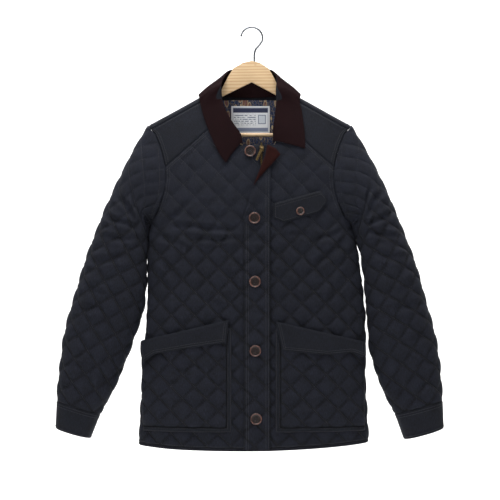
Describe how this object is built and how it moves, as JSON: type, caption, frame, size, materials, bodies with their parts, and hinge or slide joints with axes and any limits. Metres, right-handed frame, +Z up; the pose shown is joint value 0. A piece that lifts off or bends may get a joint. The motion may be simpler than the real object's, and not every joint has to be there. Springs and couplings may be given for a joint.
{
  "type": "quilted jacket on a wooden hanger",
  "caption": "Hip length quilted jacket with a corduroy collar, zip, buttoned placket and flap pockets, hung on a flat wooden hanger with a steel hook.",
  "frame": {"origin": "top of the inside of the hanger's hook, where a rail carries it", "axes": "+Z up, the jacket's front faces -Y, the wearer's left side is towards +X"},
  "size_m": [0.8152, 0.1314, 0.8859],
  "materials": {
    "quilted_cloth": "wool blend, diamond quilted",
    "plain_cloth": "wool blend, plain",
    "corduroy": "fine wale corduroy",
    "lining_print": "smooth printed lining",
    "label_cloth": "woven satin",
    "zip_brass": "antique, worn",
    "horn": "mottled, polished",
    "pine": "clear satin lacquer",
    "steel": "polished wire"
  },
  "bodies": {
    "root": {"front_right": "quilted_cloth", "front_left": "quilted_cloth", "back": "quilted_cloth", "sleeve_right": "quilted_cloth", "sleeve_left": "quilted_cloth", "pocket_right": "quilted_cloth", "pocket_left": "quilted_cloth", "placket": "quilted_cloth", "yoke_right": "plain_cloth", "yoke_left": "plain_cloth", "yoke_back": "plain_cloth", "hem_right": "plain_cloth", "hem_left": "plain_cloth", "hem_back": "plain_cloth", "cuff_right": "plain_cloth", "cuff_left": "plain_cloth", "pocket_band_right": "plain_cloth", "pocket_band_left": "plain_cloth", "flap_right": "plain_cloth", "flap_left": "plain_cloth", "chest_flap": "plain_cloth", "collar": "corduroy", "placket_facing": "corduroy", "lining": "lining_print", "label": "label_cloth", "zip_chain": "zip_brass", "zip_slider": "zip_brass", "button_1": "horn", "button_2": "horn", "button_3": "horn", "button_4": "horn", "button_neck": "horn", "button_chest": "horn", "hanger_body": "pine", "hanger_bar": "pine", "hanger_hook": "steel"},
    "zip_pull": {"zip_pull": "zip_brass"}
  },
  "joints": [
    {"name": "zip_pull", "type": "hinge", "parent": "root", "child": "zip_pull", "pos_m": [0.02078, -0.05415, -0.25559], "axis": [-0.9144, -0.0146, 0.4046], "range_deg": [0, 150]}
  ]
}
